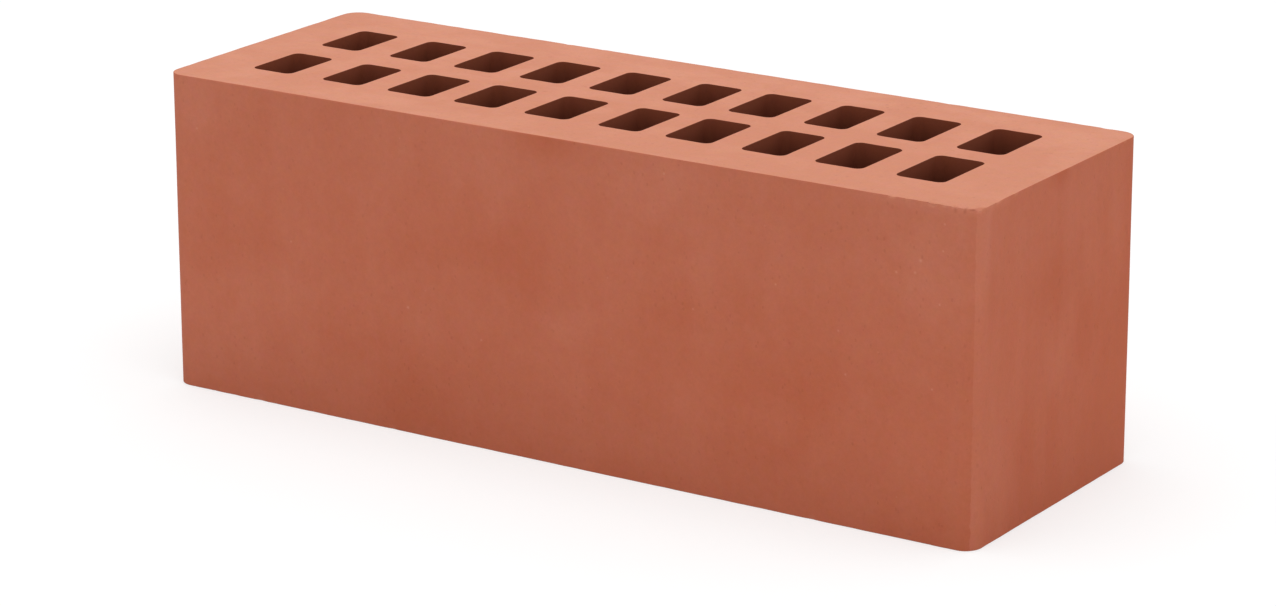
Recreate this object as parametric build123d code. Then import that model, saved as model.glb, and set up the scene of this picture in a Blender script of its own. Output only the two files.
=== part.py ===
from build123d import *
import os

# A perforated facing brick: one piece of fired clay, pushed through a die and cut off with a wire.
#
# Millimetres. X runs along the stretcher face, Y from the stretcher face to the back, and Z is up, the way
# that the clay left the die. The origin is the middle of the lower bed, the face that the brick stands on.

# The fired brick. The die rounds its upright corners, and the wire leaves the beds' arrises nearly sharp.
LENGTH = 250.0
WIDTH = 85.0
HEIGHT = 88.0
CORNER_RADIUS = 5.0
ARRIS_RADIUS = 0.5

# The cores, which go right through from bed to bed, in columns along X and rows along Y.
CORE_WIDTH = 13.8
CORE_LENGTH = 21.2
CORE_RADIUS = 2.0

# The clay round the cores: between two columns, between two rows, and the least at an end and at a face.
# A longer or wider brick gets more cores of the same size.
CROSS_WEB = 8.4
SPINE_WEB = 9.2
LEAST_END_SHELL = 16.0
LEAST_FACE_SHELL = 15.0

# How this die's cores stand off an even grid: all of them along X, and each column by its own amount.
GRID_SHIFT = -1.9
COLUMN_DRIFT = (-0.2, 0.7, 0.4, -0.2, 0.0, 0.4, -0.8, -0.6, -0.7, 0.5)

# Some columns come from narrower core pins. Towards +X the rows lean back and the cores grow longer.
NARROW_COLUMNS = (0, 1, 5, 7)
NARROWING = 1.0
ROW_LEAN = 1.5
CORE_GROWTH = 2.3

BRICK_NODE = "facing_brick"


def count_that_fits(overall, shell, core, web):
    """How many cores go side by side between two shells, with a web between each pair."""
    return int((overall - 2 * shell + web) // (core + web))


COLUMNS = count_that_fits(LENGTH, LEAST_END_SHELL, CORE_WIDTH, CROSS_WEB)
ROWS = count_that_fits(WIDTH, LEAST_FACE_SHELL, CORE_LENGTH, SPINE_WEB)


def along(column):
    """Where a column lies in the grid, from -0.5 for the first one to 0.5 for the last."""
    return column / max(COLUMNS - 1, 1) - 0.5


def core_size(column):
    """A core's size along X and along Y."""
    width = CORE_WIDTH
    if column in NARROW_COLUMNS:
        width -= NARROWING
    return width, CORE_LENGTH + CORE_GROWTH * along(column)


def core_centre(column, row):
    """The middle of a core in plan."""
    drift = COLUMN_DRIFT[column % len(COLUMN_DRIFT)]
    x = (CORE_WIDTH + CROSS_WEB) * (column - (COLUMNS - 1) / 2) + GRID_SHIFT + drift
    y = (CORE_LENGTH + SPINE_WEB) * (row - (ROWS - 1) / 2) + ROW_LEAN * along(column)
    return x, y


def core_section(column, row):
    """One core as the die's pin shapes it."""
    return Pos(*core_centre(column, row)) * RectangleRounded(*core_size(column), CORE_RADIUS)


def die_section():
    """The section of the clay column as it leaves the die: the rounded outline, less every core."""
    cores = [core_section(column, row) for row in range(ROWS) for column in range(COLUMNS)]
    return RectangleRounded(LENGTH, WIDTH, CORNER_RADIUS) - cores


def facing_brick():
    """A slice of the clay column between two wire cuts, with the outer arris of each cut worn."""
    brick = extrude(die_section(), HEIGHT)
    beds = brick.faces().filter_by(Axis.Z)
    arrises = [edge for bed in beds for edge in bed.outer_wire().edges()]
    return fillet(arrises, ARRIS_RADIUS)


def main():
    os.makedirs("parts", exist_ok=True)
    brick = facing_brick()
    brick.label = BRICK_NODE
    export_step(brick, f"parts/{BRICK_NODE}.step")
    size = brick.bounding_box().size
    print(f"{BRICK_NODE}: {size.X:.1f} x {size.Y:.1f} x {size.Z:.1f} mm, {COLUMNS * ROWS} cores")


main()
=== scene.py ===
from itertools import product

import bpy
import numpy as np
from bpy.props import FloatProperty, FloatVectorProperty, IntProperty, PointerProperty
from bpy.types import Operator, Panel, PropertyGroup
from mathutils import Matrix, Vector


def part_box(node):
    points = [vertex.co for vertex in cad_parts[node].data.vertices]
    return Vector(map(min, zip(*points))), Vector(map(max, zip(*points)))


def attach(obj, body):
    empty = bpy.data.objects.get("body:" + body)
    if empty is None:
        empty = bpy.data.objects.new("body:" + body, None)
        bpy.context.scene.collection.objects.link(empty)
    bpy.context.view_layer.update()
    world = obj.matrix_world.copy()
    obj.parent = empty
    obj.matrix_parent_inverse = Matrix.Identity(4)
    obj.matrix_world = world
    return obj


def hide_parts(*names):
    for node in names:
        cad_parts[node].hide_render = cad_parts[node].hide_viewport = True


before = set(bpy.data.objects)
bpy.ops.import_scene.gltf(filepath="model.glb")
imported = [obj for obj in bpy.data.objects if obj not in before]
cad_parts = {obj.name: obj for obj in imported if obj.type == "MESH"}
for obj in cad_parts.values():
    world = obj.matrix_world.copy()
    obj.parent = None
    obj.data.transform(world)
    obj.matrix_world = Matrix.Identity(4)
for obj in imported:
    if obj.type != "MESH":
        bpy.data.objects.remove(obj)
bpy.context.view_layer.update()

bl_info = {
    "name": "Perforated Facing Brick",
    "version": (1, 0, 0),
    "blender": (4, 5, 0),
    "location": "3D View > Sidebar > Brick",
    "description": "A fired clay facing brick with its cores and wire-cut beds, on a studio floor",
    "category": "Add Mesh",
}

MM = 0.001
BODY = "root"
BRICK_NODE = "facing_brick"

LOW, HIGH = (np.array(corner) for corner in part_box(BRICK_NODE))
MIDDLE = (LOW + HIGH) / 2
HALF = (HIGH - LOW) / 2

# How the photograph was taken: its size in pixels, and where the camera stood and looked.
PHOTO_WIDTH_PX = 1276
CAMERA_PLACE = (0.620779, -0.950873, 0.383942)
CAMERA_FORWARD = (-0.522738, 0.799667, -0.295427)
CAMERA_UP = (-0.159882, 0.248434, 0.955363)
FOCAL_LENGTH_PX = 4468.5
SENSOR_MM = 36.0
CLIP_START = 0.01

# Where the lamp hangs, and how far the floor reaches from the brick, in metres.
KEY_PLACE = (0.0, -0.14, 0.95)
FLOOR_REACH = 6.0

# How finely the surfaces are laid out. Each bed is a lattice of cells, one round each core, and every count
# here is of steps. A corner's arc takes its steps out of the sides that meet there.
CELL_STEPS_X = 20
CELL_STEPS_Y = 26
CORE_CORNER_STEPS = 3
BRICK_CORNER_STEPS = 6
CELL_RINGS = 3
FRAME_RINGS = 9
ARRIS_STEPS = 4
SIDE_STEPS = 76
CORE_STEPS = 10
RIM_STEPS = 2

# How much closer together the steps lie towards the ends of a run, where 0 is even.
OUTLINE_CLOSENESS = 0.4
SIDE_CLOSENESS = 0.55
FRAME_CLOSENESS = 0.4
WALL_CLOSENESS = 0.7

# A row of points this close to each round keeps the flat clay beside it flat in its shading too.
GUARD = 0.15 * MM

# Points that agree to this length are one point.
SAME_PLACE = 1e-7


def size_of(description, default_mm, name):
    """A length that a user may change, shown in the scene's length unit."""
    return FloatProperty(
        name=name, description=description, default=default_mm * MM, unit="LENGTH", precision=5)


def colour_of(description, default, name):
    """A colour that a user may change, as linear red, green and blue."""
    return FloatVectorProperty(
        name=name, description=description, default=default, subtype="COLOR", size=3, min=0.0, max=1.0)


class BrickShape(PropertyGroup):
    """The sizes of the die and its cores, as the CAD part has them."""

    corner_radius: size_of("Radius of the brick's upright corners", 5.0, "Corner Radius")
    arris: size_of("Radius of the worn edge round each bed", 0.3, "Arris")
    rim: size_of("Radius of the worn edge round each core's mouth", 0.1, "Core Rim")
    columns: IntProperty(name="Columns", description="Cores along the stretcher face", default=10, min=1)
    rows: IntProperty(name="Rows", description="Rows of cores across the bed", default=2, min=1)
    core_width: size_of("A core's size along the stretcher face", 13.8, "Core Width")
    core_length: size_of("A core's size across the bed, at the middle of a row", 21.2, "Core Length")
    core_radius: size_of("Radius of a core's corners", 2.0, "Core Radius")
    cross_web: size_of("Clay between two columns", 8.4, "Cross Web")
    spine_web: size_of("Clay between two rows", 9.2, "Spine Web")
    grid_shift: size_of("How far all the cores stand off the middle", -1.9, "Grid Shift")
    narrowing: size_of("How much narrower the narrow columns are", 1.0, "Narrowing")
    row_lean: size_of("How far a row leans back along the brick", 1.5, "Row Lean")
    core_growth: size_of("How much the cores lengthen along the brick", 2.3, "Core Growth")


class BrickRelief(PropertyGroup):
    """The fine relief that firing, the die and the wire leave in the clay, all of it cut into the brick."""

    wave: size_of("Depth of the broad unevenness of every face", 0.12, "Wave")
    die_streaks: size_of("Depth of the upright streaks that the die leaves", 0.012, "Die Streaks")
    wire_drag: size_of("Depth of the marks that the wire drags along the beds", 0.006, "Wire Drag")
    dimples: size_of("Depth of the soft dimples in every face", 0.018, "Dimples")
    grain: size_of("Depth of the clay's own grain", 0.012, "Grain")
    arris_wear: size_of("Depth of the wear along the arrises", 0.08, "Arris Wear")
    corner_wear: size_of("Depth of the rubbed arris at the worn corner", 0.6, "Corner Wear")
    chip_depth: size_of("Depth of the deepest chip in an arris", 0.35, "Chip Depth")
    chip_count: IntProperty(
        name="Chips", description="Small chips along both beds' arrises", default=70, min=0)


class ClayFinish(PropertyGroup):
    """The colours of the fired clay."""

    skin_deep: colour_of(
        "The skin that the die smoothed, where it fired deepest", (0.4315, 0.1095, 0.0535), "Deep Skin")
    skin_pale: colour_of("The same skin where it fired palest", (0.493, 0.1535, 0.0903), "Pale Skin")
    cut_deep: colour_of(
        "The beds, which the wire cut, where they fired deepest", (0.595, 0.237, 0.148), "Deep Cut")
    cut_pale: colour_of("The beds where they fired palest", (0.645, 0.274, 0.178), "Pale Cut")
    # The cores' walls hold painted shade: their colour at the mouths is partly painted shade, and the one
    # some way in is darker painted shade. The mouths' colour is also the painted shade that the small marks
    # lay.
    core: colour_of("The walls of the cores at their mouths", (0.208, 0.0495, 0.0225), "Core Walls")
    core_in_painted_shade: colour_of("The walls of the cores some way in", (0.0715, 0.0168, 0.0092), "Deep Core Walls")
    core_inner: colour_of(
        "The walls of the cores in the middle of the brick", (0.36, 0.095, 0.046), "Inner Core Walls")
    grit: colour_of("The specks of pale grit", (0.640, 0.300, 0.210), "Grit")


class StudioSettings(PropertyGroup):
    """The floor, the light and the camera."""

    floor: colour_of("The floor, as light bounces off it", (0.84, 0.84, 0.84), "Floor")
    floor_shown: colour_of("The floor, as light on it shows to the camera", (0.46, 0.46, 0.46), "Shown Floor")
    glow: FloatProperty(
        name="Floor Glow", description="How much of the floor's white is its own", default=0.56)
    sky: FloatProperty(name="Sky", description="Strength of the light from all round", default=0.90)
    sky_slope: FloatProperty(
        name="Sky Slope", description="How much stronger that light is from the right hand end", default=0.13)
    key: FloatProperty(
        name="Key Light", description="Power of the soft lamp overhead", default=2.2, subtype="POWER")
    key_size: FloatProperty(
        name="Key Size", description="Width of the soft lamp overhead", default=0.9, unit="LENGTH")


# The outlines and the lattice that the surfaces are laid out on.

COLUMN_DRIFT_MM = (-0.2, 0.7, 0.4, -0.2, 0.0, 0.4, -0.8, -0.6, -0.7, 0.5)
NARROW_COLUMNS = (0, 1, 5, 7)

# One corner of the upper bed is rubbed and chipped: how far the chips gather along the arrises, how much
# denser they lie there, what share of their depth they have elsewhere, and how far along the arrises and how
# wide beside them the clay is rubbed off.
WORN_CORNER_REACH = 20 * MM
WORN_CORNER_WEIGHT = 25
CHIP_ELSEWHERE = 0.35
RUBBED_REACH = 8 * MM
RUBBED_WIDTH = 1.3 * MM

# The larger nicks in the upper arris near that corner: place in plan, radius and depth in millimetres.
NICKS = (
    (100.7, -42.5, 0.9, 0.30),
    (112.0, -42.5, 1.2, 0.60),
    (118.4, -42.5, 1.0, 0.60),
    (121.2, -42.2, 0.9, 0.50),
    (124.1, -40.3, 1.3, 0.75),
)

# The smallest and the largest chip, and the depth at which one shows the clay under the skin. A chip's middle
# is a point that belongs to an arris by at least this share and lies this near to it.
CHIP_RADII = (0.5 * MM, 1.8 * MM)
CHIP_SHOWS = 0.15 * MM
CHIP_SHARE_OF_ARRIS = 0.9
CHIP_NEAR_ARRIS = 1.0 * MM
CHIP_SEED = 11

# The size of each kind of relief along each axis, in millimetres, and the seed of its noise.
RELIEF_NOISE = {
    "wave": ((45, 45, 38), 1),
    "die_streaks": ((4.5, 4.5, 140), 2),
    "wire_drag": ((60, 3.0, 1000), 3),
    "dimples": ((6, 6, 6), 6),
    "grain": ((1.9, 1.9, 1.9), 4),
    "arris_wear": ((3.5, 3.5, 3.5), 5),
    "rubbed": ((2.2, 2.2, 2.2), 7),
}

# The random values of each noise along each axis, after which they come round again.
NOISE_TABLE = 32


def core_plan(shape):
    """The middle and half the size of every core in plan, each as an array of (column, row, axis).

    A column's place is its number times the pitch, counted from the middle of the grid, plus the grid's
    shift and the column's own drift. The rows lean back and the cores lengthen with the column's number.
    """
    column = np.arange(shape.columns)[:, None]
    row = np.arange(shape.rows)[None, :]
    along = column / max(shape.columns - 1, 1) - 0.5
    drift = np.take(COLUMN_DRIFT_MM, column, mode="wrap") * MM
    x = (shape.core_width + shape.cross_web) * (column - (shape.columns - 1) / 2) + shape.grid_shift + drift
    y = (shape.core_length + shape.spine_web) * (row - (shape.rows - 1) / 2) + shape.row_lean * along
    width = shape.core_width - shape.narrowing * np.isin(column, NARROW_COLUMNS)
    length = shape.core_length + shape.core_growth * along
    flat = np.zeros((shape.columns, shape.rows))
    middle = np.stack([x + flat, y], axis=-1)
    return middle, np.stack([width + flat, length + flat], axis=-1) / 2


def lattice(shape, middle, half):
    """The lines of the cells round the cores: along X at the middle of each web, and along Y between rows.

    The outer lines lie half a web outside the cores. Between two lines, the places are evenly spaced.
    """
    left, right = middle[:, 0, 0] - half[:, 0, 0], middle[:, 0, 0] + half[:, 0, 0]
    front, back = (middle - half)[..., 1].min(0), (middle + half)[..., 1].max(0)
    lines = []
    for low, high, web, steps in ((left, right, shape.cross_web, CELL_STEPS_X),
                                  (front, back, shape.spine_web, CELL_STEPS_Y)):
        between = (high[:-1] + low[1:]) / 2
        ends = np.concatenate([[low[0] - web / 2], between, [high[-1] + web / 2]])
        count = len(ends) - 1
        lines.append(np.interp(np.arange(count * steps + 1) / steps, np.arange(count + 1), ends))
    return lines


def rectangle(xs, ys):
    """A closed loop round a rectangle through the given places, counter-clockwise from its front left."""
    def side(along, across):
        return np.column_stack(np.broadcast_arrays(along, across))
    return np.concatenate([
        side(xs[:-1], ys[0]), side(xs[-1], ys[:-1]), side(xs[:0:-1], ys[-1]), side(xs[0], ys[:0:-1])])


def rounded(middle, half, radius, steps, corner_steps, closeness=0.0):
    """A closed loop round a rounded rectangle, counter-clockwise from the middle of its front left corner.

    Each side starts and ends half way round a corner. Its corner part is an arc of 45 degrees, the radius
    times the sine and cosine of the angle, and its straight part is graded between the two arcs.
    """
    arc = np.radians(np.linspace(-45, 0, corner_steps + 1))
    loop = []
    for turn in range(4):
        far, near = (half if turn % 2 == 0 else half[::-1])
        straight = far - radius
        run = graded(-straight, straight, steps[turn % 2] - 2 * corner_steps, closeness)
        into, out_of = arc[:-1], arc[-2:0:-1]
        along = np.concatenate([radius * np.sin(into) - straight, run, straight - radius * np.sin(out_of)])
        out = near - radius + radius * np.concatenate([np.cos(into), np.ones(len(run)), np.cos(out_of)])
        cos, sin = ((1, 0), (0, 1), (-1, 0), (0, -1))[turn]
        loop.append(np.column_stack([along * cos + out * sin, along * sin - out * cos]))
    return np.concatenate(loop) + middle


def graded(low, high, steps, closeness):
    """Places from low to high that lie closer together at both ends: an even run less a share of its sine."""
    even = np.linspace(0, 1, steps + 1)
    return low + (high - low) * (even - closeness * np.sin(2 * np.pi * even) / (2 * np.pi))


def quarter_round(steps):
    """A quarter circle of radius 1 as (inset, rise), from (0, 0) on the side to (1, 1) on the bed."""
    angle = np.linspace(0, np.pi / 2, steps + 1)
    return 1 - np.cos(angle), np.sin(angle)


# A band is a surface that closes round a loop: rows of loops, each with the same number of points. It is kept
# as its points and, for each row, how far it belongs to a bed, to a core's wall and to an arris.

def ring_rows(outer, inner, height, shares):
    """Loops on a bed, each a share of the way from the outer loop to the inner one."""
    flat = outer + (inner - outer) * np.reshape(shares, (-1, 1, 1))
    return np.concatenate([flat, np.full(flat.shape[:2] + (1,), height)], axis=2)


def outline_rows(outline, insets, heights):
    """Loops of an outline, each at its own inset and height. outline(inset) gives the loop in plan."""
    flat = np.stack([outline(inset) for inset in insets])
    levels = np.broadcast_to(np.reshape(heights, (-1, 1, 1)), flat.shape[:2] + (1,))
    return np.concatenate([flat, levels], axis=2)


def brick_band(shape, xs, ys):
    """The outside of the brick: from the lattice on the lower bed out to the arris, up the faces and back in.

    Each upright line of the band keeps to one point of the lattice's edge and one point of the outline.
    """
    steps = (len(xs) - 1, len(ys) - 1)

    def outline(inset):
        return rounded(MIDDLE[:2], HALF[:2] - inset, shape.corner_radius - inset, steps, BRICK_CORNER_STEPS,
                       OUTLINE_CLOSENESS)

    bed_edge = rectangle(xs, ys)
    in_by, up_by = quarter_round(ARRIS_STEPS)
    sides = graded(LOW[2] + shape.arris + GUARD, HIGH[2] - shape.arris - GUARD, SIDE_STEPS, SIDE_CLOSENESS)
    frame_width = HIGH[0] - shape.arris - xs[-1]
    in_shares = graded(GUARD / frame_width, 1, FRAME_RINGS, FRAME_CLOSENESS)
    lower = ring_rows(outline(shape.arris), bed_edge, LOW[2], in_shares[::-1])
    upper = ring_rows(outline(shape.arris), bed_edge, HIGH[2], in_shares)
    insets = shape.arris * np.concatenate([in_by[::-1], np.zeros(len(sides)), in_by])
    heights = np.concatenate([
        LOW[2] + shape.arris * (1 - up_by[::-1]), sides, HIGH[2] - shape.arris * (1 - up_by)])
    points = np.concatenate([lower, outline_rows(outline, insets, heights), upper])
    flat = np.ones(len(in_shares))
    bed = np.concatenate([flat, in_by[::-1], np.zeros(len(sides)), in_by, flat])
    return points, bed, np.zeros(len(bed)), np.sin(np.pi * bed)


def core_band(shape, middle, half, xs, ys):
    """One core: from its cell's edge on the upper bed to the rim, down the wall, and out on the lower bed."""
    def outline(growth):
        return rounded(middle, half + growth, shape.core_radius + growth, (CELL_STEPS_X, CELL_STEPS_Y),
                       CORE_CORNER_STEPS)

    cell = rectangle(xs, ys)
    in_by, up_by = quarter_round(RIM_STEPS)
    shares = np.append(np.linspace(0, 1, CELL_RINGS + 1)[:-1], 1 - 2 * GUARD / shape.cross_web)
    walls = graded(HIGH[2] - shape.rim - GUARD, LOW[2] + shape.rim + GUARD, CORE_STEPS, WALL_CLOSENESS)
    growths = shape.rim * np.concatenate([in_by[::-1], np.zeros(len(walls)), in_by])
    heights = np.concatenate([
        HIGH[2] - shape.rim * (1 - up_by[::-1]), walls, LOW[2] + shape.rim * (1 - up_by)])
    upper = ring_rows(cell, outline(shape.rim), HIGH[2], shares)
    lower = ring_rows(cell, outline(shape.rim), LOW[2], shares[::-1])
    points = np.concatenate([upper, outline_rows(outline, growths, heights), lower])
    flat = np.ones(len(shares))
    bed = np.concatenate([flat, in_by[::-1], np.zeros(len(walls)), in_by, flat])
    return points, bed, 1 - bed, np.sin(np.pi * bed)


def join_bands(bands):
    """One set of points and quads from all the bands, with points that lie in the same place made one.

    A quad's corners are (row, column), (row, next column), (next row, next column) and (next row, column),
    and the last column's next is the first. Points are the same where they agree to SAME_PLACE.
    """
    points, quads, marks, first = [], [], [], 0
    for band, *row_marks in bands:
        rows, columns = band.shape[:2]
        index = first + np.arange(rows * columns).reshape(rows, columns)
        beside = np.roll(index, -1, axis=1)
        quads.append(np.stack([index[:-1], beside[:-1], beside[1:], index[1:]], axis=-1).reshape(-1, 4))
        points.append(band.reshape(-1, 3))
        marks.append(np.repeat(np.stack(row_marks, axis=1), columns, axis=0))
        first += rows * columns
    points, quads, marks = map(np.concatenate, (points, quads, marks))
    cell = np.round(points / SAME_PLACE).astype(np.int64)
    _, kept, where = np.unique(cell, axis=0, return_index=True, return_inverse=True)
    return points[kept], where.ravel()[quads], marks[kept]


def point_normals(points, quads):
    """Each point's normal: the sum of the cross products of the diagonals of its quads, made one long."""
    across = points[quads[:, 2]] - points[quads[:, 0]]
    other = points[quads[:, 3]] - points[quads[:, 1]]
    face = np.cross(across, other)
    total = np.stack([
        np.bincount(quads.ravel(), weights=np.repeat(face[:, axis], 4), minlength=len(points))
        for axis in range(3)], axis=1)
    return total / np.linalg.norm(total, axis=1, keepdims=True)


def noise(points, cell_mm, seed):
    """Smooth noise from 0 to 1: random values on a lattice of the given cell, one size for each axis.

    Between the lattice's eight nearest values it blends by the curve 6t^5 - 15t^4 + 10t^3 along each axis.
    """
    values = np.random.default_rng(seed).random((NOISE_TABLE,) * 3)
    place = points / (np.asarray(cell_mm) * MM)
    low = np.floor(place).astype(int)
    part = place - low
    ease = part ** 3 * (part * (part * 6 - 15) + 10)
    total = np.zeros(len(points))
    for corner in product((0, 1), repeat=3):
        x, y, z = ((low + corner) % NOISE_TABLE).T
        total += values[x, y, z] * np.where(corner, ease, 1 - ease).prod(axis=1)
    return total


def from_arris(points, radius):
    """How far each point lies from the sharp line in which the nearer bed and the brick's sides would meet.

    It is the long side of a right triangle of the depth under that bed and the inset from the sides. The
    inset is the corner's radius less the distance from the corner's axis, or less that past its level.
    """
    past = np.abs(points[:, :2] - MIDDLE[:2]) - HALF[:2] + radius
    inset = radius - np.linalg.norm(np.clip(past, 0, None), axis=1) - np.minimum(past.max(axis=1), 0)
    return np.hypot(inset, np.minimum(points[:, 2] - LOW[2], HIGH[2] - points[:, 2]))


def worn_corner(points, reach):
    """1 at the front right corner of the upper bed, and less away from it by a bell curve of the distance."""
    return np.exp(-(np.linalg.norm(points - (HIGH[0], LOW[1], HIGH[2]), axis=1) / reach) ** 2)


def chips(points, edge, away_from_arris, relief):
    """Depth of small chips in the outer arrises: for each, its depth times one less its distance squared.

    The distance is measured in the chip's own radius. A chip lies on a random point of an arris, and more and
    deeper ones near the worn corner. The nicks are more of the same, each at its own place.
    """
    random = np.random.default_rng(CHIP_SEED)
    depth = np.zeros(len(points))
    on_edge = np.flatnonzero((edge > CHIP_SHARE_OF_ARRIS) & (away_from_arris < CHIP_NEAR_ARRIS))
    if not relief.chip_count or not len(on_edge):
        return depth
    worn = worn_corner(points[on_edge], WORN_CORNER_REACH)
    weights = 1 + WORN_CORNER_WEIGHT * worn
    chosen = random.choice(len(on_edge), relief.chip_count, replace=False, p=weights / weights.sum())
    radii = random.uniform(*CHIP_RADII, relief.chip_count)
    depths = relief.chip_depth * random.random(relief.chip_count) ** 2
    depths = depths * np.maximum(worn[chosen], CHIP_ELSEWHERE)
    x, y, nick_radii, nick_depths = np.transpose(NICKS) * MM
    nicks = np.column_stack([x, y, np.full(len(x), HIGH[2])])
    middles = np.concatenate([points[on_edge[chosen]], nicks])
    radii, depths = np.append(radii, nick_radii), np.append(depths, nick_depths)
    near = np.flatnonzero(away_from_arris < CHIP_RADII[1])
    away = np.linalg.norm(points[near, None] - middles[None], axis=2) / radii
    depth[near] = (depths * np.clip(1 - away ** 2, 0, None)).max(axis=1)
    return depth


def relief_depth(points, marks, shape, relief):
    """How deep every point is cut into the clay, and how much of that is a chip.

    The depth is the sum of the marks that the making leaves, none below zero. The wave is half as deep on an
    arris, the wear is the square of its noise, and the rubbed corner is from half to all of its depth.
    """
    bed, _, edge = marks.T
    unevenness = {name: noise(points, *settings) for name, settings in RELIEF_NOISE.items()}
    away = from_arris(points, shape.corner_radius)
    depth = relief.wave * unevenness["wave"] * (1 - 0.5 * edge)
    depth += relief.die_streaks * (1 - bed) * unevenness["die_streaks"]
    depth += relief.wire_drag * bed * unevenness["wire_drag"]
    depth += relief.dimples * unevenness["dimples"]
    depth += relief.grain * unevenness["grain"]
    depth += relief.arris_wear * edge * unevenness["arris_wear"] ** 2
    rubbed = relief.corner_wear * worn_corner(points, RUBBED_REACH)
    rubbed = rubbed * np.clip(1 - away / RUBBED_WIDTH, 0, None)
    rubbed *= 0.5 + 0.5 * unevenness["rubbed"]
    chipped = chips(points, edge, away, relief)
    return depth + rubbed + chipped, chipped


def mesh_of(name, points, quads, marks):
    """A smooth mesh from arrays, with each column of marks as an attribute of its points."""
    mesh = bpy.data.meshes.new(name)
    mesh.vertices.add(len(points))
    mesh.vertices.foreach_set("co", points.ravel())
    mesh.loops.add(quads.size)
    mesh.loops.foreach_set("vertex_index", quads.ravel())
    mesh.polygons.add(len(quads))
    mesh.polygons.foreach_set("loop_start", np.arange(0, quads.size, 4))
    mesh.polygons.foreach_set("use_smooth", np.ones(len(quads), bool))
    mesh.update(calc_edges=True)
    for label, values in marks.items():
        mesh.attributes.new(label, "FLOAT", "POINT").data.foreach_set("value", values.astype(np.float32))
    if mesh.validate():
        raise RuntimeError(f"{name} has faces that Blender had to mend")
    return mesh


# The materials.

# A spot's least radius and the place where it is full, both as shares of its radius, and how sharply the
# spots are chosen from the cells.
SMALLEST_SPOT = 0.4
SPOT_FULL = 0.55
SPOT_CHOICE = 0.02


class Nodes:
    """A node tree of a material or a world, with short calls for the nodes that the clay and floor need."""

    def __init__(self, owner):
        self.owner = owner
        owner.use_nodes = True
        self.tree = owner.node_tree
        self.tree.nodes.clear()

    def add(self, kind, inputs=(), **settings):
        """One node, with its settings, and its inputs as values or as other nodes' outputs."""
        node = self.tree.nodes.new(kind)
        for key, value in settings.items():
            setattr(node, key, value)
        for key, value in dict(inputs).items():
            if isinstance(value, bpy.types.NodeSocket):
                self.tree.links.new(value, node.inputs[key])
            else:
                node.inputs[key].default_value = value
        return node

    def maths(self, operation, *values, clamp=False):
        """One sum on numbers, held between 0 and 1 where it is clamped."""
        return self.add("ShaderNodeMath", enumerate(values), operation=operation, use_clamp=clamp).outputs[0]

    def vectors(self, operation, inputs):
        """One sum on vectors or colours."""
        return self.add("ShaderNodeVectorMath", inputs, operation=operation).outputs[0]

    def clamped(self, value):
        """value held between 0 and 1."""
        return self.maths("ADD", value, 0, clamp=True)

    def total(self, *values):
        """The sum of several values."""
        result = values[0]
        for value in values[1:]:
            result = self.maths("ADD", result, value)
        return result

    def ramp(self, value, low, high, to_low=0.0, to_high=1.0):
        """value carried from low..high to to_low..to_high along a smooth curve, and held there outside."""
        inputs = {"Value": value, "From Min": low, "From Max": high, "To Min": to_low, "To Max": to_high}
        return self.add("ShaderNodeMapRange", inputs, interpolation_type="SMOOTHSTEP").outputs["Result"]

    def mix(self, share, first, second):
        """A colour between two, by share."""
        node = self.add("ShaderNodeMix", data_type="RGBA")
        for socket, value in zip((node.inputs[0], node.inputs[6], node.inputs[7]), (share, first, second)):
            if isinstance(value, bpy.types.NodeSocket):
                self.tree.links.new(value, socket)
            else:
                socket.default_value = value if socket.type == "VALUE" else (*value, 1.0)
        return node.outputs[2]

    def mix_number(self, share, first, second):
        """A number between two, by share."""
        inputs = {0: share, 2: first, 3: second}
        return self.add("ShaderNodeMix", inputs, data_type="FLOAT").outputs[0]

    def scaled(self, place, middle_mm, size_mm):
        """place measured from a middle, in units of a size for each axis."""
        middle, size = np.array(middle_mm) * MM, np.broadcast_to(size_mm, 3) * MM
        inputs = {"Vector": place, "Location": -middle / size, "Scale": 1 / size}
        return self.add("ShaderNodeMapping", inputs).outputs[0]

    def pattern(self, place, cell_mm, detail=2.0, roughness=0.5, distortion=0.0, seed=0, output="Fac"):
        """Noise about 0.5, whose features have the given size in millimetres along each axis."""
        moved = self.scaled(place, (311 * seed, 173 * seed, 97 * seed), cell_mm)
        inputs = {"Vector": moved, "Scale": 1.0, "Detail": detail, "Roughness": roughness,
                  "Distortion": distortion}
        return self.add("ShaderNodeTexNoise", inputs).outputs[output]

    def about_zero(self, noise, strength):
        """Noise moved to lie about 0, times a strength."""
        return self.maths("MULTIPLY_ADD", noise, strength, -strength / 2)

    def patch(self, place, middle_mm, size_mm, strength):
        """strength at the middle, and less towards a soft edge at size_mm from it along each axis."""
        scaled = self.scaled(place, middle_mm, size_mm)
        away = self.add("ShaderNodeVectorMath", {0: scaled}, operation="LENGTH").outputs["Value"]
        return self.ramp(away, 0.0, 1.0, strength, 0.0)

    def spots(self, place, cell_mm, share, radius_mm, stretch=(1, 1, 1), shift_mm=(0, 0, 0)):
        """Small round spots in the given share of the cells, 1 in each spot.

        Their radii go from SMALLEST_SPOT of the given radius up to all of it, and their rims are soft.
        """
        size = np.array(stretch) * cell_mm
        cells = self.add("ShaderNodeTexVoronoi", {
            "Vector": self.scaled(place, shift_mm, size), "Scale": 1.0, "Randomness": 1.0})
        draw = self.add("ShaderNodeSeparateColor", {0: cells.outputs["Color"]})
        chosen = self.ramp(draw.outputs[0], 1 - share, 1 - share + SPOT_CHOICE)
        largest = radius_mm / cell_mm
        radius = self.maths(
            "MULTIPLY_ADD", draw.outputs[1], (1 - SMALLEST_SPOT) * largest, SMALLEST_SPOT * largest)
        inside = self.maths("DIVIDE", cells.outputs["Distance"], radius)
        return self.maths("MULTIPLY", self.ramp(inside, 1.0, SPOT_FULL), chosen)

    def mark(self, name):
        """How far the surface is what one of the mesh's marks says, from 0 to 1."""
        return self.add("ShaderNodeAttribute", attribute_name=name).outputs["Fac"]


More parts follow.
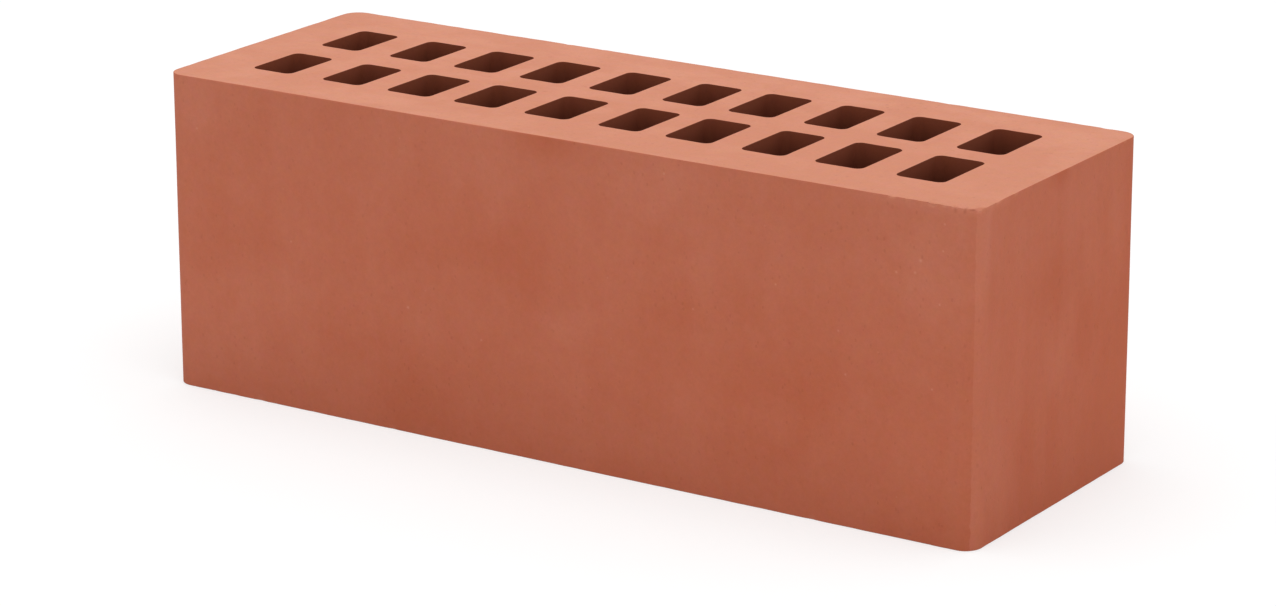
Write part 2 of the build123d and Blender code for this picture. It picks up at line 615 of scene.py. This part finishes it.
# Where the brick in the photograph fired paler or deeper: middle and size in millimetres, and how much paler.
FRONT_SCORCH = ((-1, -42, 88), (16, 14, 10), -0.6)
END_SCORCH = ((124, -0.5, 89), (14, 8, 8), -0.55)
WORN_CORNER_PALE = ((110, -44, 88), (28, 50, 3.4), 0.62)
FRONT_PATCHES = {
    "pale_upper_left_corner": ((-120, -42, 84), (34, 14, 16), 0.35),
    "pale_left_edge": ((-127, -42, 40), (20, 14, 70), 0.22),
    "pale_below_upper_arris": ((33, -42, 80), (18, 14, 16), 0.32),
    "pale_left_of_it": ((-24, -42, 74), (16, 14, 12), 0.20),
    "deep_middle": ((-11, -42, 55), (14, 14, 20), -0.30),
    "pale_spot_right_of_middle": ((7, -42, 40), (14, 14, 11), 0.22),
    "pale_lower_left": ((-106, -42, 16), (44, 14, 34), 0.32),
    "deep_lower_middle": ((-44, -42, 18), (40, 14, 24), -0.22),
    "deep_above_middle": ((-14, -42, 58), (72, 14, 22), -0.12),
    "deep_lower_right": ((74, -42, 36), (54, 14, 36), -0.34),
    "pale_upper_right": ((116, -42, 74), (22, 14, 32), 0.42),
    "pale_left_of_middle": ((-82, -42, 33), (28, 14, 18), 0.14),
    "deep_below_middle": ((-20, -42, 27), (20, 14, 12), -0.15),
    "deep_right_of_middle": ((38, -42, 42), (18, 14, 26), -0.15),
    "pale_lower_right": ((68, -42, 26), (22, 14, 14), 0.15),
    "deep_lower_right_corner": ((114, -42, 18), (16, 14, 22), -0.15),
}
END_PATCHES = {
    "deep_far_side": ((124, 40, 38), (14, 26, 52), -0.35),
    "deep_far_corner": ((124, 41, 50), (14, 7, 80), -0.12),
    "deep_far_foot": ((124, 40, 10), (14, 10, 26), -0.55),
    "pale_lower_near_corner": ((124, -30, 12), (14, 13, 40), 0.34),
    "deep_near_corner": ((124, -35, 62), (14, 8, 14), -0.26),
    "deep_lower_streak": ((124, -16, 18), (14, 7, 18), -0.24),
    "deep_above_middle": ((124, -4, 59), (14, 26, 12), -0.24),
    "pale_spot_on_end": ((124, -1, 38), (14, 9, 14), 0.38),
    "deep_right_of_spot": ((124, 15, 45), (14, 9, 18), -0.36),
    "pale_under_arris": ((124, 8, 79), (14, 22, 14), 0.17),
    "pale_far_streak": ((124, 31, 68), (14, 7, 30), 0.28),
    "pale_near_streak": ((124, -23, 36), (14, 7, 14), 0.2),
    "pale_upper_near_streak": ((124, -22, 76), (14, 7, 14), 0.18),
    "deep_foot": ((124, 24, 14), (14, 16, 20), -0.16),
    "pale_near_foot": ((124, -41, 10), (14, 4, 22), 0.2),
    "deep_near_foot": ((124, -33, 4), (14, 4.5, 13), -0.18),
}

# The larger specks of pale grit in the front face: place along it and up it, and radius, in millimetres.
FRONT_GRIT = (
    (109.0, 72.8, 0.75),
    (107.5, 69.5, 0.58),
    (102.2, 68.8, 0.60),
    (115.2, 76.2, 0.50),
    (114.5, 62.5, 0.50),
    (112.8, 40.5, 0.50),
    (88.2, 40.0, 0.50),
    (86.0, 51.0, 0.45),
    (34.8, 83.6, 0.50),
    (115.5, 83.0, 0.50),
    (43.5, 49.5, 0.45),
    (67.8, 60.0, 0.50),
    (-22.0, 30.0, 0.50),
    (-45.5, 35.0, 0.70),
    (-83.8, 47.0, 0.50),
    (-114.8, 73.8, 0.55),
)

# Painted light and shade where the faces in the photograph are a little darker or lighter, whatever their
# colour:
# middle and size in millimetres, and the share that is taken away or added.
PAINTED_SKIN_SHADES = (
    ((-25, -42, 22), (90, 14, 36), -0.022),
    ((116, -42, 18), (22, 14, 28), 0.02),
    ((124, -21, 52), (14, 15, 18), 0.028),
    ((124, 24, 84), (14, 44, 24), -0.022),
    ((124, -37, 80), (14, 7, 26), -0.012),
    ((124, 11, 61), (14, 7, 12), -0.02),
    ((124, -36, 28), (14, 12, 26), -0.018),
    ((124, 36, 14), (14, 16, 26), 0.016),
)

# The two deepest nicks beside the worn corner hold a little shadow: place along the front face and up it, and
# half its width and height, in millimetres, and how strong it is.
NICK_SHADOWS = (
    (118.4, 87.0, 0.8, 1.1),
    (120.9, 87.2, 0.7, 1.2),
)
NICK_SHADOW = 0.3

# The front face's place along Y in millimetres, and how deep a mark on it goes.
FRONT_MM = -42.4
MARK_DEPTH_MM = 3

# The die's skins on the long faces and on the ends meet along a line half way round each upright corner.
# There the distance from the middle along X is this much more than the distance along Y. The line wanders a
# little, and is this soft to either side.
CORNER_LINE = HIGH[0] - HIGH[1]
CORNER_WANDER = 1.2 * MM
CORNER_BLUR = 0.15 * MM

# On the ends the patterns in the skin are drawn out upright: a height counts for this share of itself. The
# patches wander by this much on the long faces and on the ends.
END_HEIGHT_SHARE = 0.25
LONG_WANDER = 22 * MM
END_WANDER = 8 * MM

# How strongly each noise in the skin counts in its paleness.
SKIN_NOISES = {"cloud": 0.70, "fired": 0.33, "blotch": 0.24, "mottle": 0.24, "streak": 0.3}

# How pale the skin is along a line, each as where it starts and ends and the paleness at either: up every
# side, at the foot, under the upper arris, beside a corner on the long faces, on the ends towards the front
# and at the front, and on the ends high up at the front.
PALE_UP = (0, 88 * MM, -0.08, 0.13)
PALE_FOOT = (0, 12 * MM, -0.14, 0.0)
PALE_UNDER_ARRIS = (72 * MM, 86 * MM, 0.0, 0.06)
PALE_BESIDE_CORNER = (119 * MM, 122.5 * MM, 0.0, -0.15)
PALE_END_FRONT = (26 * MM, 34 * MM, -0.28, -0.2)
PALE_END_CORNER = (35 * MM, 40.4 * MM, 0.0, 0.36)
UPPER_CORNER_FRONT = (34 * MM, 41.4 * MM)
PALE_UPPER_CORNER = (52 * MM, 88 * MM, 0.0, 0.66)

# How light the clay is along a line, in the same way, all painted light and shade: darker at the foot of the
# long faces and of the ends, darker near the top of the long faces, and lighter towards the back of the ends.
PAINTED_SHADE_LONG_FOOT = (0, 30 * MM, -0.075, 0.0)
PAINTED_SHADE_LONG_TOP = (55 * MM, 88 * MM, 1.004, 0.982)
PAINTED_SHADE_END_FOOT = (0, 30 * MM, -0.06, 0.0)
PAINTED_LIGHT_END_BACK = (-20 * MM, 42 * MM, 1.012, 1.04)

# The beds' clouds, from a noise between the first two values, go from the third paleness to the fourth. A
# mottle counts on top of that. The beds are deeper towards the front and the right: middle and size in
# millimetres, and how much deeper.
BED_CLOUDS = (0.3, 0.7, 0.16, 0.9)
BED_MOTTLE = 0.5
BED_DEEP = ((90, -17, 88), (215, 58, 60), -0.7)

# The wire's cut takes on its own colour from this share of the way round an arris, and between these depths
# under the bed. Painted shade makes a core's wall darkest at one depth, and it turns to plain clay between
# the next two.
CUT_SHARE = 0.75
CUT_DEPTHS = (0.48 * MM, 0.34 * MM)
WALL_PAINTED_SHADE_DARKEST = 14 * MM
WALL_PLAIN = (18 * MM, 28 * MM)

# The scattered marks: the size of their cells in millimetres, the share of the cells that holds one and its
# radius, and how the cells are drawn out or moved. A shadow lies just under each speck of grit.
SPOTS = {
    "shadow": ((6.5, 0.35, 0.6), {"shift_mm": (0.3, 0.3, -0.34)}),
    "pits": ((2.2, 0.9, 0.5), {"stretch": (1, 1, 1.5)}),
    "hollows": ((3.6, 0.8, 1.0), {"stretch": (1, 1, 1.4)}),
    "grit": ((6.5, 0.35, 0.5), {}),
}

# The pits lie thicker in some places: from a noise between the first two values, from the third share of
# their strength to the fourth.
PIT_SPREAD = (0.4, 0.62, 0.35, 1.0)

# How strongly a chip shows the clay under the skin, and each small mark its colour, in the order they lie in.
# The grit lays its own pale colour; the shadows, pits, hollows and nicks lay painted shade.
CHIP_SHARE = 0.5
LOOSE_GRIT_SHARE = 0.4
MARK_SHARES = {"shadow": 0.15, "pits": 0.13, "hollows": 0.06, "grit": 0.3, "nicks": 1.0}

# The slight differences in colour from grain to grain: the strength of each channel, and its least.
TINT = (0.10, 0.11, 0.30)
TINT_LEAST = (0.95, 0.945, 0.85)

# What the grain does to the clay's lightness and its roughness, each as the noise's two values and the result
# at either, and how much rougher the beds are.
LIGHT_GRAIN = (0.2, 0.8, 0.955, 1.045)
ROUGH_GRAIN = (0.2, 0.8, 0.74, 0.84)
BED_ROUGHER = 0.08

# How far each part counts in the bump, and the whole bump's height and strength.
BUMP_GRAIN = 0.6
BUMP_FINE = 0.25
BUMP_GRIT = 0.5
BUMP_PITS = 0.9
BUMP_HEIGHT = 0.06 * MM
BUMP_STRENGTH = 0.7

# How much light the clay's surface throws back before it takes on any colour.
SPECULAR = 0.15


def end_share(n, place, x, y):
    """1 on the ends and 0 on the long faces, by how much further the place is along X than along Y."""
    past = n.maths("SUBTRACT", n.maths("ABSOLUTE", x), n.maths("ABSOLUTE", y))
    past = n.maths("ADD", past, n.about_zero(n.pattern(place, 1.5, detail=2, seed=12), CORNER_WANDER))
    return n.ramp(past, CORNER_LINE - CORNER_BLUR, CORNER_LINE + CORNER_BLUR)


def paleness(n, place, x, y, z, on_end):
    """How pale the skin is, about 0.5: clouds, streaks and patches as it fired, paler higher up and deeper at
    the foot.
    """
    drawn_z = n.maths("MULTIPLY", z, n.mix_number(on_end, 1.0, END_HEIGHT_SHARE))
    drawn = n.add("ShaderNodeCombineXYZ", {0: x, 1: y, 2: drawn_z}).outputs[0]
    wander = n.pattern(drawn, 14, detail=3, seed=4, output="Color")
    wander = n.vectors("SUBTRACT", {0: wander, 1: (0.5, 0.5, 0.5)})
    reach = n.mix_number(on_end, LONG_WANDER, END_WANDER)
    wander = n.vectors("SCALE", {0: wander, "Scale": reach})
    loose = n.vectors("ADD", {0: place, 1: wander})

    long_face = n.total(
        n.ramp(n.maths("ABSOLUTE", x), *PALE_BESIDE_CORNER),
        *[n.patch(loose, *patch) for patch in FRONT_PATCHES.values()])
    forward = n.maths("MULTIPLY", y, -1.0)
    upper_corner = n.maths("MULTIPLY", n.ramp(forward, *UPPER_CORNER_FRONT), n.ramp(z, *PALE_UPPER_CORNER))
    end_face = n.total(
        n.ramp(forward, *PALE_END_FRONT),
        n.ramp(forward, *PALE_END_CORNER),
        upper_corner,
        *[n.patch(loose, *patch) for patch in END_PATCHES.values()])

    noises = {
        "cloud": n.pattern(drawn, 27, detail=3, roughness=0.5, distortion=0.5, seed=1),
        "fired": n.pattern(drawn, (10, 10, 14), detail=3, roughness=0.6, seed=2),
        "blotch": n.pattern(drawn, (2.8, 2.8, 3.4), detail=4, roughness=0.65, seed=3),
        "mottle": n.pattern(place, (1.4, 1.4, 1.6), detail=2, roughness=0.5, seed=11),
        "streak": n.pattern(place, (8, 8, 110), detail=2, roughness=0.5, seed=5),
    }
    height = n.add("ShaderNodeSeparateXYZ", {0: loose}).outputs["Z"]
    return n.total(
        0.5,
        *[n.about_zero(noises[name], strength) for name, strength in SKIN_NOISES.items()],
        n.ramp(height, *PALE_UP),
        n.ramp(height, *PALE_FOOT),
        n.ramp(z, *PALE_UNDER_ARRIS),
        n.mix_number(on_end, long_face, end_face),
        n.patch(place, *FRONT_SCORCH),
        n.patch(place, *END_SCORCH),
        n.patch(place, *WORN_CORNER_PALE))


def plain_clay(n, finish, place, x, y, z, on_end, bed, core, chip):
    """The clay without its small marks: the skin, the beds, the cores' walls with their painted shade, and
    what a chip lays open.
    """
    skin = n.mix(n.clamped(paleness(n, place, x, y, z, on_end)), finish.skin_deep, finish.skin_pale)
    on_bed = n.pattern(place, (16, 12, 12), detail=2, roughness=0.5, distortion=0.3, seed=8)
    on_bed = n.total(
        n.ramp(on_bed, *BED_CLOUDS),
        n.about_zero(n.pattern(place, 1.7, detail=2, seed=13), BED_MOTTLE),
        n.patch(place, *BED_DEEP))
    cut = n.mix(n.clamped(on_bed), finish.cut_deep, finish.cut_pale)

    from_middle = n.maths("ABSOLUTE", n.maths("SUBTRACT", z, MIDDLE[2]))
    at_bed = n.ramp(from_middle, *[HALF[2] - depth for depth in CUT_DEPTHS])
    colour = n.mix(n.maths("MULTIPLY", n.ramp(bed, CUT_SHARE, 1.0), at_bed), skin, cut)
    # Painted shade in the cores: from the mouth's colour to the darkest at one depth, then back to plain clay
    # further in.
    mouth = n.ramp(from_middle, HALF[2] - WALL_PAINTED_SHADE_DARKEST, HALF[2])
    wall = n.mix(mouth, finish.core_in_painted_shade, finish.core)
    inner = n.ramp(from_middle, *[HALF[2] - depth for depth in WALL_PLAIN])
    wall = n.mix(inner, wall, finish.core_inner)
    colour = n.mix(core, colour, wall)
    return n.mix(n.maths("MULTIPLY", chip, CHIP_SHARE), colour, finish.cut_deep)


def small_marks(n, place, core):
    """Pits and broad hollows for painted shade, and grit with its painted shadow, outside the cores; placed
    specks; nicks' painted shadows.
    """
    open_clay = n.maths("SUBTRACT", 1, core)

    def spots(name):
        settings, more = SPOTS[name]
        return n.maths("MULTIPLY", n.spots(place, *settings, **more), open_clay)

    def on_front(along, up, half_width, half_height, strength):
        size = (half_width, MARK_DEPTH_MM, half_height)
        return n.patch(place, (along, FRONT_MM, up), size, strength)

    spread = n.ramp(n.pattern(place, 24, detail=2, seed=9), *PIT_SPREAD)
    specks = [on_front(along, up, radius, radius, 1.0) for along, up, radius in FRONT_GRIT]
    return {
        "shadow": spots("shadow"),
        "pits": n.maths("MULTIPLY", spots("pits"), spread),
        "hollows": spots("hollows"),
        "grit": n.total(n.maths("MULTIPLY", spots("grit"), LOOSE_GRIT_SHARE), *specks),
        "nicks": n.total(*[on_front(*shadow, NICK_SHADOW) for shadow in NICK_SHADOWS]),
    }


def lightness(n, place, y, z, on_end, bed, grain):
    """How light the clay is: its grain, and on the sides painted runs of light and painted shades."""
    on_long = n.total(n.ramp(z, *PAINTED_SHADE_LONG_FOOT), n.ramp(z, *PAINTED_SHADE_LONG_TOP))
    on_short = n.total(n.ramp(z, *PAINTED_SHADE_END_FOOT), n.ramp(y, *PAINTED_LIGHT_END_BACK))
    shades = [n.patch(place, *shade) for shade in PAINTED_SKIN_SHADES]
    sides = n.total(n.mix_number(on_end, on_long, on_short), *shades)
    return n.maths("MULTIPLY", n.ramp(grain, *LIGHT_GRAIN), n.mix_number(bed, sides, 1.0))


def clay_material(finish):
    """Fired clay: cloudy die skin, paler wire-cut beds, core walls dark with painted shade, fine pits and
    pale grit, and painted light and shade.
    """
    n = Nodes(bpy.data.materials.new("fired_clay"))
    place = n.add("ShaderNodeTexCoord").outputs["Object"]
    x, y, z = n.add("ShaderNodeSeparateXYZ", {0: place}).outputs
    bed, core, chip = n.mark("bed"), n.mark("core"), n.mark("chip")
    on_end = end_share(n, place, x, y)
    grain = n.pattern(place, 0.7, detail=4, roughness=0.75, seed=6)
    marks = small_marks(n, place, core)

    colour = plain_clay(n, finish, place, x, y, z, on_end, bed, core, chip)
    # The grit lays its own pale colour; the shadows, pits, hollows and nicks lay painted shade in the mouths'
    # core colour.
    for mark, share in MARK_SHARES.items():
        over = finish.grit if mark == "grit" else finish.core
        colour = n.mix(n.maths("MULTIPLY", marks[mark], share), colour, over)
    tint = n.pattern(place, 2.8, detail=3, roughness=0.6, seed=10, output="Color")
    tint = n.vectors("MULTIPLY_ADD", {0: tint, 1: TINT, 2: TINT_LEAST})
    colour = n.vectors("MULTIPLY", {0: colour, 1: tint})
    colour = n.vectors("SCALE", {0: colour, "Scale": lightness(n, place, y, z, on_end, bed, grain)})

    fine = n.pattern(place, 0.28, detail=2, roughness=0.6, seed=7)
    rise = n.total(
        n.maths("MULTIPLY", grain, BUMP_GRAIN),
        n.maths("MULTIPLY", fine, BUMP_FINE),
        n.maths("MULTIPLY", marks["grit"], BUMP_GRIT))
    rise = n.maths("SUBTRACT", rise, n.maths("MULTIPLY", marks["pits"], BUMP_PITS))
    bump = n.add("ShaderNodeBump", {"Height": rise, "Distance": BUMP_HEIGHT, "Strength": BUMP_STRENGTH})
    rough = n.maths("ADD", n.ramp(grain, *ROUGH_GRAIN), n.maths("MULTIPLY", bed, BED_ROUGHER), clamp=True)
    shader = n.add("ShaderNodeBsdfPrincipled", {
        "Base Color": colour,
        "Roughness": rough,
        "Normal": bump.outputs["Normal"],
        "Specular IOR Level": SPECULAR})
    n.add("ShaderNodeOutputMaterial", {"Surface": shader.outputs[0]})
    return n.owner


# The stage.

# The floor's glow fades in over this far inside the brick's edges, so that the cores end in the dark.
GLOW_EDGE = (6 * MM, 4 * MM)


def seen_by_camera(n):
    """1 for what the camera sees directly, in a mirror or through glass, and 0 for light that bounces."""
    path = n.add("ShaderNodeLightPath")
    seen = n.maths("ADD", path.outputs["Is Camera Ray"], path.outputs["Is Glossy Ray"])
    return n.maths("ADD", seen, path.outputs["Is Transmission Ray"], clamp=True)


def floor_material(studio):
    """A matt pale floor. To the camera part of its white is its own glow, so its shadow is faint but kept.

    Under the brick it has no glow, so the cores end in the dark.
    """
    n = Nodes(bpy.data.materials.new("studio_floor"))
    bounced = n.add("ShaderNodeBsdfDiffuse", {"Color": (*studio.floor, 1.0)})
    dimmer = n.add("ShaderNodeBsdfDiffuse", {"Color": (*studio.floor_shown, 1.0)})
    place = n.add("ShaderNodeTexCoord").outputs["Object"]
    x, y, _ = n.add("ShaderNodeSeparateXYZ", {0: place}).outputs
    past_x, past_y = [
        n.ramp(n.maths("ABSOLUTE", along), edge - GLOW_EDGE[0], edge - GLOW_EDGE[1])
        for along, edge in ((x, HIGH[0]), (y, HIGH[1]))]
    strength = n.maths("MULTIPLY", n.maths("MAXIMUM", past_x, past_y), studio.glow)
    glow = n.add("ShaderNodeEmission", {"Color": (1, 1, 1, 1), "Strength": strength})
    shown = n.add("ShaderNodeAddShader", {0: dimmer.outputs[0], 1: glow.outputs[0]})
    mixed = n.add("ShaderNodeMixShader", {0: seen_by_camera(n), 1: bounced.outputs[0], 2: shown.outputs[0]})
    n.add("ShaderNodeOutputMaterial", {"Surface": mixed.outputs[0]})
    return n.owner


def studio_world(studio):
    """Even light from all round, a little stronger from the right, and white where the camera sees it."""
    n = Nodes(bpy.data.worlds.new("studio_world"))
    direction = n.add("ShaderNodeTexCoord").outputs["Generated"]
    across = n.add("ShaderNodeSeparateXYZ", {0: direction}).outputs["X"]
    sky = n.maths("MULTIPLY_ADD", across, studio.sky * studio.sky_slope, studio.sky)
    strength = n.mix_number(seen_by_camera(n), sky, 1.0)
    background = n.add("ShaderNodeBackground", {"Color": (1, 1, 1, 1), "Strength": strength})
    n.add("ShaderNodeOutputWorld", {"Surface": background.outputs[0]})
    return n.owner


def add_object(name, data, material=None):
    """An object at the origin, linked to the scene."""
    thing = bpy.data.objects.new(name, data)
    bpy.context.scene.collection.objects.link(thing)
    if material:
        data.materials.append(material)
    return thing


def add_floor(studio):
    """The floor: one square face at the brick's foot."""
    mesh = bpy.data.meshes.new("studio_floor")
    corners = [(x * FLOOR_REACH, y * FLOOR_REACH, LOW[2]) for x, y in ((-1, -1), (1, -1), (1, 1), (-1, 1))]
    mesh.from_pydata(corners, [], [(0, 1, 2, 3)])
    add_object("studio_floor", mesh, floor_material(studio))


def add_lamp(studio):
    """One soft round lamp nearly overhead, turned to the brick's foot."""
    lamp = bpy.data.lights.new("key_light", "AREA")
    lamp.shape = "DISK"
    lamp.size = studio.key_size
    lamp.energy = studio.key
    light = add_object("key_light", lamp)
    light.location = KEY_PLACE
    light.rotation_euler = (-light.location).to_track_quat("-Z", "Y").to_euler()


def add_camera():
    """The camera at the photograph's place and angle."""
    lens = bpy.data.cameras.new("camera")
    lens.sensor_width = SENSOR_MM
    lens.lens = FOCAL_LENGTH_PX * SENSOR_MM / PHOTO_WIDTH_PX
    lens.clip_start = CLIP_START
    camera = add_object("camera", lens)
    back = -Vector(CAMERA_FORWARD).normalized()
    right = Vector(CAMERA_UP).cross(back).normalized()
    turn = Matrix((right, back.cross(right), back)).transposed()
    camera.matrix_world = Matrix.Translation(CAMERA_PLACE) @ turn.to_4x4()
    return camera


class BRICK_OT_fired_brick(Operator):
    """Lay out the fired brick, cut its relief, give it its clay, and let it stand for the CAD solid"""

    bl_idname = "brick.fired_brick"
    bl_label = "Fired Brick"

    def execute(self, context):
        shape, relief = context.scene.brick_shape, context.scene.brick_relief
        middle, half = core_plan(shape)
        xs, ys = lattice(shape, middle, half)
        bands = [brick_band(shape, xs, ys)]
        for column, row in product(range(shape.columns), range(shape.rows)):
            cell_xs = xs[column * CELL_STEPS_X:(column + 1) * CELL_STEPS_X + 1]
            cell_ys = ys[row * CELL_STEPS_Y:(row + 1) * CELL_STEPS_Y + 1]
            bands.append(core_band(shape, middle[column, row], half[column, row], cell_xs, cell_ys))
        points, quads, marks = join_bands(bands)
        depth, chipped = relief_depth(points, marks, shape, relief)
        points = points - point_normals(points, quads) * depth[:, None]
        mesh = mesh_of("fired_brick", points, quads, {
            "bed": marks[:, 0],
            "core": marks[:, 1],
            "chip": np.clip(chipped / CHIP_SHOWS, 0, 1)})
        brick = add_object("fired_brick", mesh, clay_material(context.scene.clay_finish))
        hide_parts(BRICK_NODE)
        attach(brick, BODY)
        return {"FINISHED"}


class BRICK_OT_studio(Operator):
    """Add the pale floor, the soft light and the camera at the photograph's angle"""

    bl_idname = "brick.studio"
    bl_label = "Studio"

    def execute(self, context):
        scene = context.scene
        studio = scene.studio_settings
        add_floor(studio)
        add_lamp(studio)
        scene.world = studio_world(studio)
        scene.camera = add_camera()
        scene.view_settings.view_transform = "Standard"
        return {"FINISHED"}


class BRICK_PT_panel(Panel):
    """The brick's sizes and colours, and the buttons that make it"""

    bl_label = "Facing Brick"
    bl_idname = "BRICK_PT_panel"
    bl_space_type = "VIEW_3D"
    bl_region_type = "UI"
    bl_category = "Brick"

    def draw(self, context):
        for group in GROUPS:
            box = self.layout.box()
            settings = getattr(context.scene, group)
            for name in settings.bl_rna.properties.keys():
                if name not in ("rna_type", "name"):
                    box.prop(settings, name)
        for operator in OPERATORS:
            self.layout.operator(operator.bl_idname)


GROUPS = {
    "brick_shape": BrickShape,
    "brick_relief": BrickRelief,
    "clay_finish": ClayFinish,
    "studio_settings": StudioSettings,
}
OPERATORS = (BRICK_OT_fired_brick, BRICK_OT_studio)


def register():
    for kind in (*GROUPS.values(), *OPERATORS, BRICK_PT_panel):
        bpy.utils.register_class(kind)
    for name, kind in GROUPS.items():
        setattr(bpy.types.Scene, name, PointerProperty(type=kind))


def unregister():
    for name in GROUPS:
        delattr(bpy.types.Scene, name)
    for kind in reversed((*GROUPS.values(), *OPERATORS, BRICK_PT_panel)):
        bpy.utils.unregister_class(kind)


def main():
    register()
    bpy.ops.brick.fired_brick()
    bpy.ops.brick.studio()


if __name__ == "__main__":
    main()
